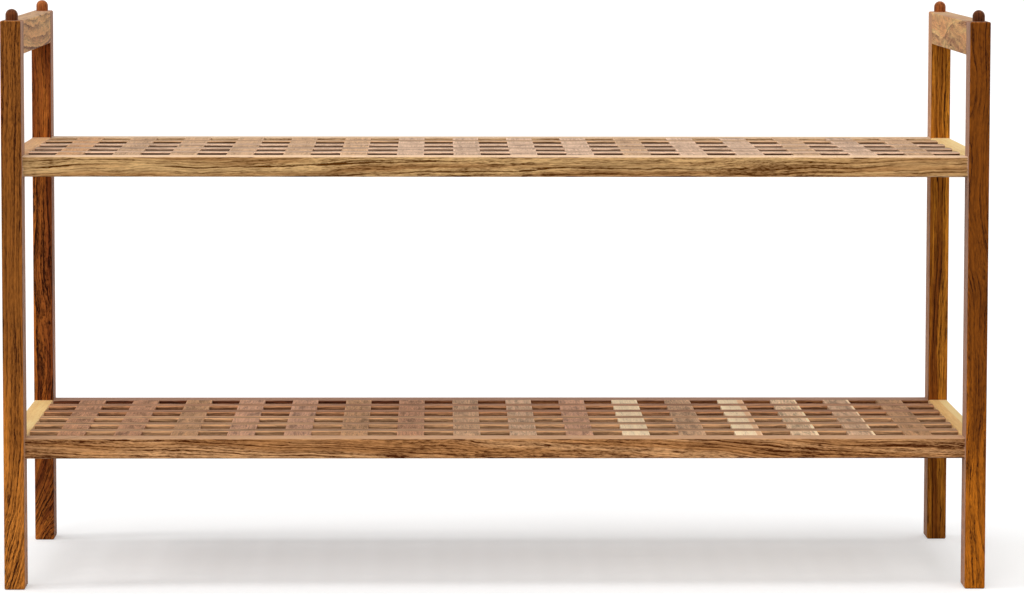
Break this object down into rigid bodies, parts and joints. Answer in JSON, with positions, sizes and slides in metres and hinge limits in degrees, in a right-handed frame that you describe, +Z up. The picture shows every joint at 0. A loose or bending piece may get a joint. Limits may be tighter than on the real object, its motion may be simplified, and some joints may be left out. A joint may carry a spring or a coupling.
{
  "type": "stackable shoe rack",
  "caption": "Open wooden shoe rack with flush lattice shelves between slim end frames, handle rails at the top, and domed pins on the legs that key into the feet of a rack above.",
  "frame": {"origin": "on the floor, midway between the four feet", "axes": "+X to the right seen from the front, +Y to the back, +Z up"},
  "size_m": [0.864, 0.32, 0.51],
  "materials": {
    "leg_oak": "oiled, satin",
    "handle_oak": "oiled, satin",
    "rail_oak": "oiled, satin",
    "end_rail_ash": "oiled, satin",
    "slat_oak": "oiled, satin",
    "slat_maple": "oiled, satin",
    "pin_front": "oiled, satin",
    "pin_rear": "oiled, satin",
    "dowel_beech": "bare"
  },
  "bodies": {
    "root": {"joint_dowels": "dowel_beech", "stacking_pins_front": "pin_front", "leg_front_left": "leg_oak", "leg_front_right": "leg_oak", "stacking_pins_rear": "pin_rear", "leg_rear_left": "leg_oak", "leg_rear_right": "leg_oak", "handle_rail_left": "handle_oak", "handle_rail_right": "handle_oak", "lower_front_rail": "rail_oak", "lower_rear_rail": "rail_oak", "lower_left_end_rail": "end_rail_ash", "lower_right_end_rail": "end_rail_ash", "lower_long_slat_1": "slat_oak", "lower_long_slat_2": "slat_oak", "lower_long_slat_3": "slat_oak", "lower_long_slat_4": "slat_oak", "lower_long_slat_5": "slat_oak", "lower_cross_slat_01": "slat_oak", "lower_cross_slat_02": "slat_oak", "lower_cross_slat_03": "slat_oak", "lower_cross_slat_04": "slat_oak", "lower_cross_slat_05": "slat_oak", "lower_cross_slat_06": "slat_oak", "lower_cross_slat_07": "slat_oak", "lower_cross_slat_08": "slat_oak", "lower_cross_slat_09": "slat_oak", "lower_cross_slat_10": "slat_oak", "lower_cross_slat_11": "slat_maple", "lower_cross_slat_12": "slat_oak", "lower_cross_slat_13": "slat_maple", "lower_cross_slat_14": "slat_maple", "lower_cross_slat_15": "slat_oak", "lower_cross_slat_16": "slat_oak", "upper_front_rail": "rail_oak", "upper_rear_rail": "rail_oak", "upper_left_end_rail": "end_rail_ash", "upper_right_end_rail": "end_rail_ash", "upper_long_slat_1": "slat_oak", "upper_long_slat_2": "slat_oak", "upper_long_slat_3": "slat_oak", "upper_long_slat_4": "slat_oak", "upper_cross_slat_01": "slat_oak", "upper_cross_slat_02": "slat_oak", "upper_cross_slat_03": "slat_oak", "upper_cross_slat_04": "slat_oak", "upper_cross_slat_05": "slat_oak", "upper_cross_slat_06": "slat_oak", "upper_cross_slat_07": "slat_oak", "upper_cross_slat_08": "slat_oak", "upper_cross_slat_09": "slat_oak", "upper_cross_slat_10": "slat_oak", "upper_cross_slat_11": "slat_oak", "upper_cross_slat_12": "slat_oak", "upper_cross_slat_13": "slat_oak", "upper_cross_slat_14": "slat_oak", "upper_cross_slat_15": "slat_oak", "upper_cross_slat_16": "slat_oak"}
  },
  "joints": []
}
